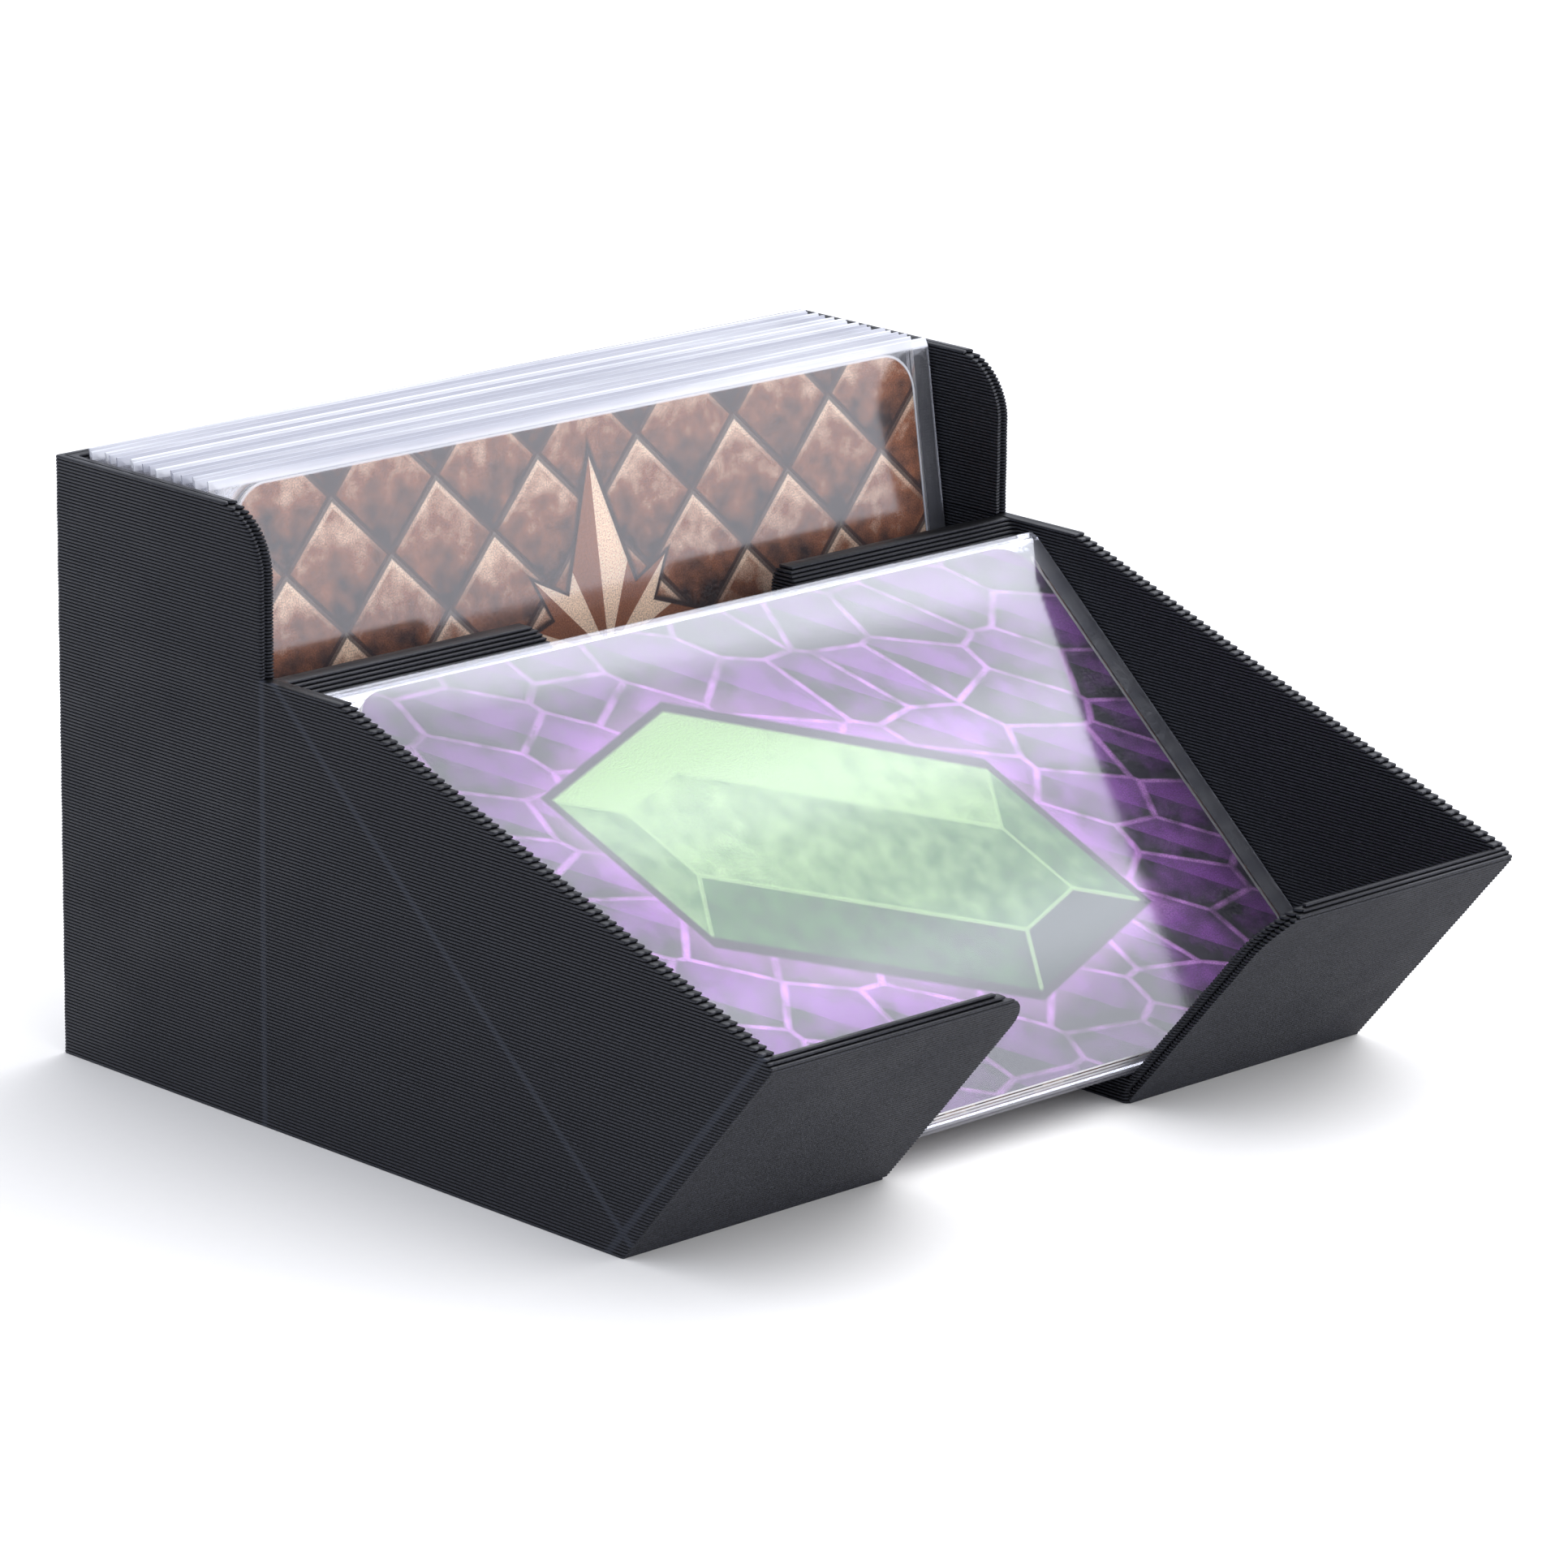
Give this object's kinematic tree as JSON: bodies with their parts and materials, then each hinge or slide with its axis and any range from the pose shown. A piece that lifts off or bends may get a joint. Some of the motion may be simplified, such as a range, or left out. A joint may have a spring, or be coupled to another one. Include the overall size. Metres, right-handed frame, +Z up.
{
  "type": "game card holder",
  "caption": "Printed desktop holder for sleeved mini cards: an upright draw box at the back and a sloping discard tray with a split, leaning front lip, both loaded with cards.",
  "frame": {"origin": "on the table, below the middle of the holder's outer box", "axes": "X across the holder to its right side, Y from the front lip to the back wall, Z up"},
  "size_m": [0.0754, 0.0758, 0.0461],
  "materials": {
    "black_print": "black filament print with horizontal layer ridges",
    "sleeve_film": "clear glossy polypropylene film with welded seams",
    "draw_card_stock": "coated card stock printed in browns",
    "discard_card_stock": "coated card stock printed in purple and violet"
  },
  "bodies": {
    "holder": {"holder": "black_print"},
    "draw_01": {"draw_sleeve_01": "sleeve_film", "draw_card_01": "draw_card_stock"},
    "draw_02": {"draw_sleeve_02": "sleeve_film", "draw_card_02": "draw_card_stock"},
    "draw_03": {"draw_sleeve_03": "sleeve_film", "draw_card_03": "draw_card_stock"},
    "draw_04": {"draw_sleeve_04": "sleeve_film", "draw_card_04": "draw_card_stock"},
    "draw_05": {"draw_sleeve_05": "sleeve_film", "draw_card_05": "draw_card_stock"},
    "draw_06": {"draw_sleeve_06": "sleeve_film", "draw_card_06": "draw_card_stock"},
    "draw_07": {"draw_sleeve_07": "sleeve_film", "draw_card_07": "draw_card_stock"},
    "draw_08": {"draw_sleeve_08": "sleeve_film", "draw_card_08": "draw_card_stock"},
    "draw_09": {"draw_sleeve_09": "sleeve_film", "draw_card_09": "draw_card_stock"},
    "draw_10": {"draw_sleeve_10": "sleeve_film", "draw_card_10": "draw_card_stock"},
    "draw_11": {"draw_sleeve_11": "sleeve_film", "draw_card_11": "draw_card_stock"},
    "draw_12": {"draw_sleeve_12": "sleeve_film", "draw_card_12": "draw_card_stock"},
    "draw_13": {"draw_sleeve_13": "sleeve_film", "draw_card_13": "draw_card_stock"},
    "draw_14": {"draw_sleeve_14": "sleeve_film", "draw_card_14": "draw_card_stock"},
    "draw_15": {"draw_sleeve_15": "sleeve_film", "draw_card_15": "draw_card_stock"},
    "draw_16": {"draw_sleeve_16": "sleeve_film", "draw_card_16": "draw_card_stock"},
    "discard_01": {"discard_sleeve_01": "sleeve_film", "discard_card_01": "discard_card_stock"},
    "discard_02": {"discard_sleeve_02": "sleeve_film", "discard_card_02": "discard_card_stock"},
    "discard_03": {"discard_sleeve_03": "sleeve_film", "discard_card_03": "discard_card_stock"}
  },
  "joints": [
    {"name": "draw_01_lift", "type": "slide", "parent": "holder", "child": "draw_01", "axis": [0, 0.1623, 0.9867], "range_m": [0, 0.048]},
    {"name": "draw_02_lift", "type": "slide", "parent": "holder", "child": "draw_02", "axis": [0, 0.1623, 0.9867], "range_m": [0, 0.048]},
    {"name": "draw_03_lift", "type": "slide", "parent": "holder", "child": "draw_03", "axis": [0, 0.1623, 0.9867], "range_m": [0, 0.048]},
    {"name": "draw_04_lift", "type": "slide", "parent": "holder", "child": "draw_04", "axis": [0, 0.1623, 0.9867], "range_m": [0, 0.048]},
    {"name": "draw_05_lift", "type": "slide", "parent": "holder", "child": "draw_05", "axis": [0, 0.1623, 0.9867], "range_m": [0, 0.048]},
    {"name": "draw_06_lift", "type": "slide", "parent": "holder", "child": "draw_06", "axis": [0, 0.1623, 0.9867], "range_m": [0, 0.048]},
    {"name": "draw_07_lift", "type": "slide", "parent": "holder", "child": "draw_07", "axis": [0, 0.1623, 0.9867], "range_m": [0, 0.048]},
    {"name": "draw_08_lift", "type": "slide", "parent": "holder", "child": "draw_08", "axis": [0, 0.1623, 0.9867], "range_m": [0, 0.048]},
    {"name": "draw_09_lift", "type": "slide", "parent": "holder", "child": "draw_09", "axis": [0, 0.1623, 0.9867], "range_m": [0, 0.048]},
    {"name": "draw_10_lift", "type": "slide", "parent": "holder", "child": "draw_10", "axis": [0, 0.1623, 0.9867], "range_m": [0, 0.048]},
    {"name": "draw_11_lift", "type": "slide", "parent": "holder", "child": "draw_11", "axis": [0, 0.1623, 0.9867], "range_m": [0, 0.048]},
    {"name": "draw_12_lift", "type": "slide", "parent": "holder", "child": "draw_12", "axis": [0, 0.1623, 0.9867], "range_m": [0, 0.048]},
    {"name": "draw_13_lift", "type": "slide", "parent": "holder", "child": "draw_13", "axis": [0, 0.1623, 0.9867], "range_m": [0, 0.048]},
    {"name": "draw_14_lift", "type": "slide", "parent": "holder", "child": "draw_14", "axis": [0, 0.1623, 0.9867], "range_m": [0, 0.048]},
    {"name": "draw_15_lift", "type": "slide", "parent": "holder", "child": "draw_15", "axis": [0, 0.1623, 0.9867], "range_m": [0, 0.048]},
    {"name": "draw_16_lift", "type": "slide", "parent": "holder", "child": "draw_16", "axis": [0, 0.1623, 0.9867], "range_m": [0, 0.048]},
    {"name": "discard_01_lift", "type": "slide", "parent": "holder", "child": "discard_01", "axis": [0, -0.6494, 0.7604], "range_m": [0, 0.024]},
    {"name": "discard_02_lift", "type": "slide", "parent": "discard_01", "child": "discard_02", "axis": [0, -0.6494, 0.7604], "range_m": [0, 0.024]},
    {"name": "discard_03_lift", "type": "slide", "parent": "discard_02", "child": "discard_03", "axis": [0, -0.6494, 0.7604], "range_m": [0, 0.024]}
  ]
}
